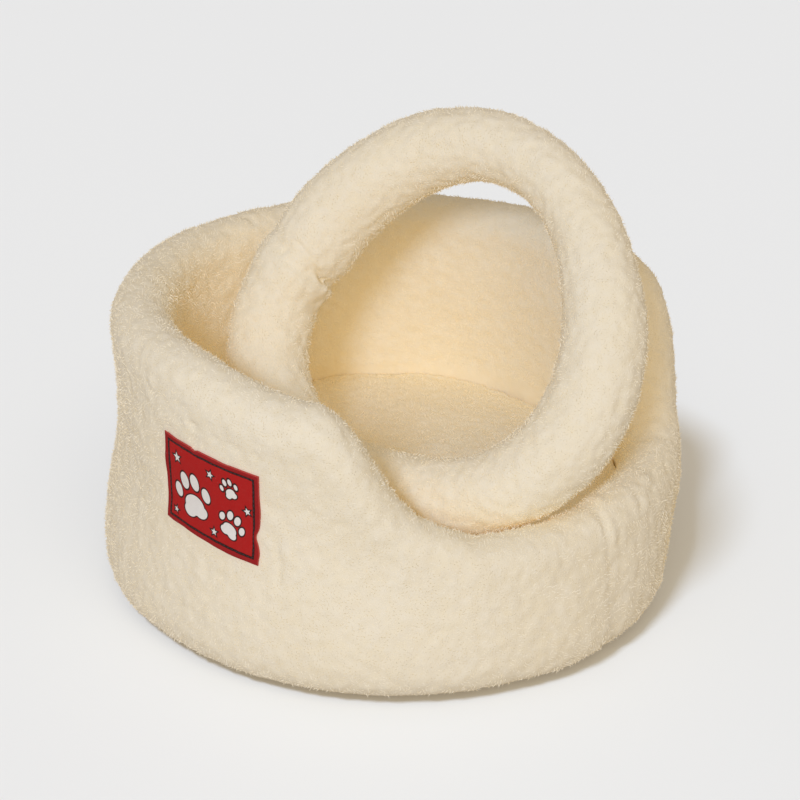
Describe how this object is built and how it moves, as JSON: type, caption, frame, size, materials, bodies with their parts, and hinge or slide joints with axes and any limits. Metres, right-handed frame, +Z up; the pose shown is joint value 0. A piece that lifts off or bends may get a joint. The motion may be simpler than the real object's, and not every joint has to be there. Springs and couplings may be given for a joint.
{
  "type": "puppy nest bed",
  "caption": "Round fleece nest bed with a padded wall, tall behind and scooped low at the front, a floor cushion and a stuffed bolster ring half lifted out.",
  "frame": {"origin": "on the floor, at the axis of the round wall", "axes": "+Z up; -Y out of the middle of the low entrance; +X to the right of somebody who looks along +Y into the entrance, so the patch is at -X"},
  "size_m": [0.5077, 0.5053, 0.3875],
  "materials": {
    "fleece": "cream short-pile fleece",
    "base_cloth": "plain cream woven cloth",
    "patch_cloth": "red woven patch with a dark stitched border"
  },
  "bodies": {
    "root": {"wall": "fleece", "base_panel": "base_cloth", "floor_cushion": "fleece", "bolster_ring": "fleece", "patch": "patch_cloth"}
  },
  "joints": []
}
